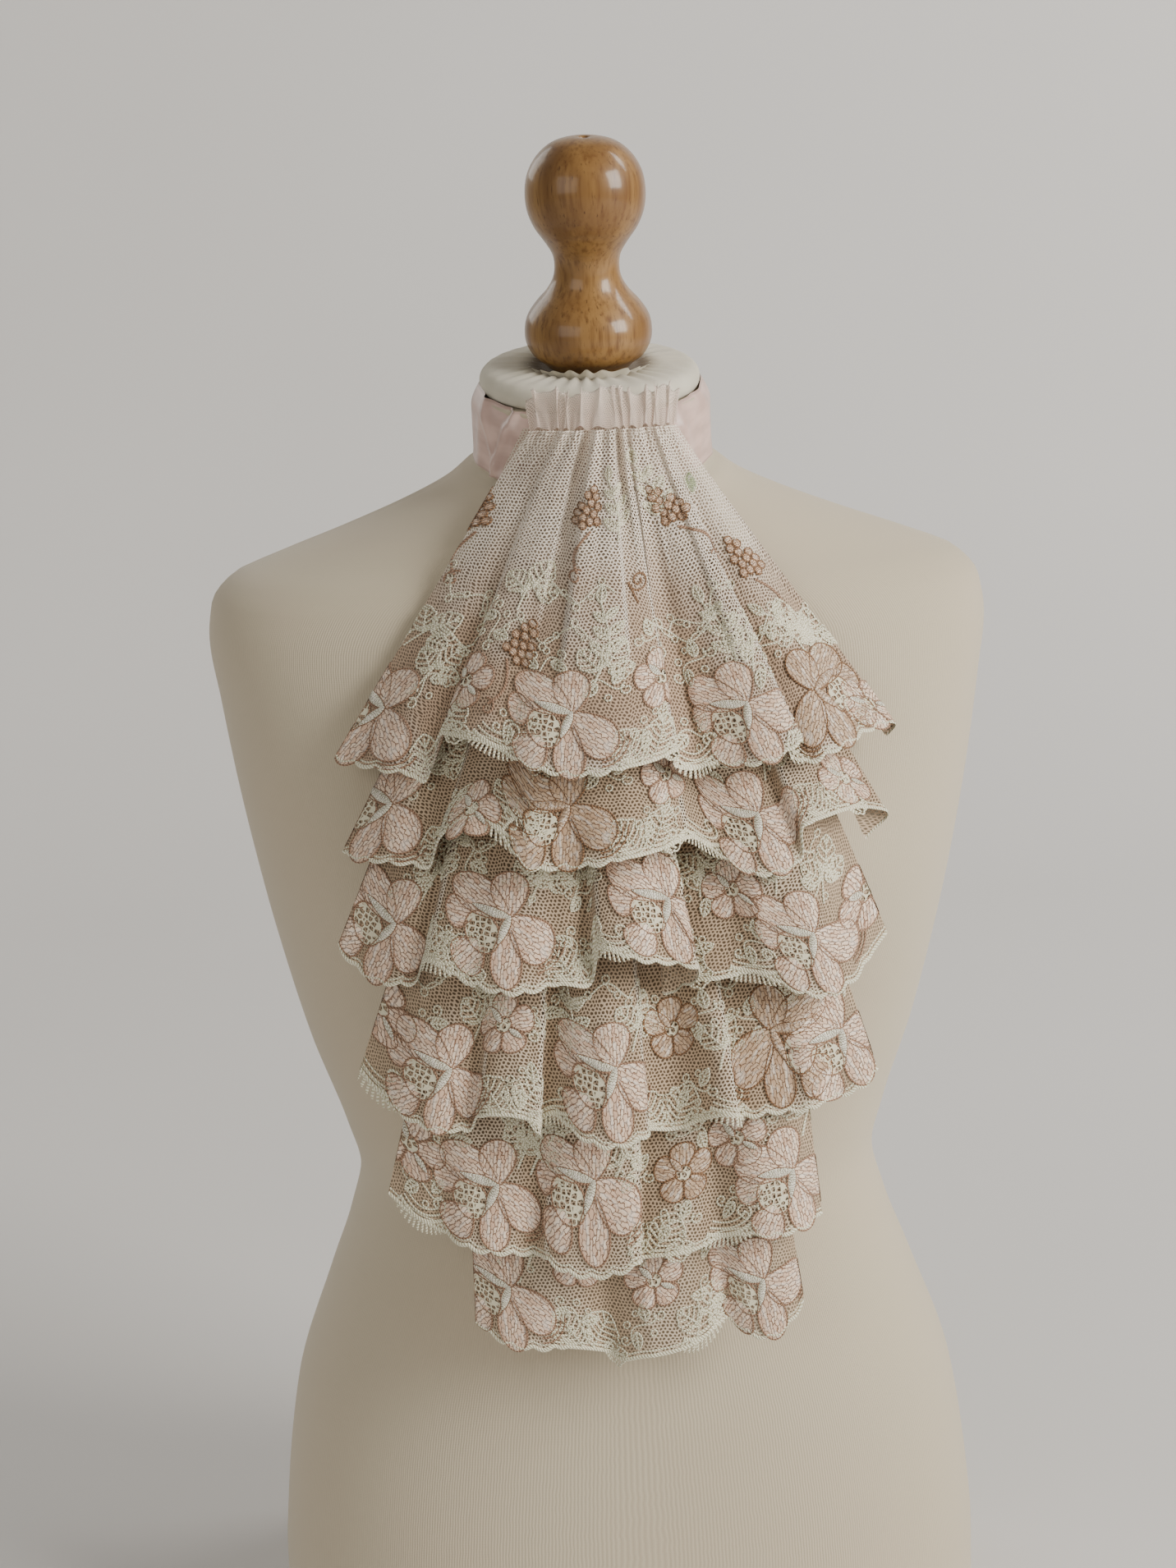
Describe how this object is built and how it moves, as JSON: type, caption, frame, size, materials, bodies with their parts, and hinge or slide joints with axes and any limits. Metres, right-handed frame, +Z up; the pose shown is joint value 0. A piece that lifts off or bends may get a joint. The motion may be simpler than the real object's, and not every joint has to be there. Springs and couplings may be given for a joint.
{
  "type": "lace jabot on dress form",
  "caption": "Tiered jabot of gathered embroidered tulle on a satin neck ribbon, worn by a limbless jersey-covered dress form with a turned wooden neck knob.",
  "frame": {"origin": "middle of the form's flat bottom, in the plane of the side seams", "axes": "+Z up, -Y to the wearer's front, +X to the wearer's left"},
  "size_m": [0.397, 0.3165, 0.7912],
  "materials": {
    "cream_jersey": "fine ribbed cotton jersey, matt",
    "gathered_cotton": "plain cream cotton, gathered, matt",
    "varnished_beech": "glossy clear varnish on turned beech",
    "pink_satin": "satin weave, soft sheen along the ribbon",
    "pale_tulle": "plain hexagonal tulle, sheer, matt",
    "embroidered_tulle": "tulle with satin-stitched flowers and corded outlines"
  },
  "bodies": {
    "root": {"form_body": "cream_jersey", "form_cap": "gathered_cotton", "neck_knob": "varnished_beech", "neck_ribbon": "pink_satin", "header_frill": "pale_tulle", "backing": "pale_tulle", "tier_1": "embroidered_tulle", "tier_2": "embroidered_tulle", "tier_3": "embroidered_tulle", "tier_4": "embroidered_tulle", "tier_5": "embroidered_tulle", "tier_6": "embroidered_tulle"}
  },
  "joints": []
}
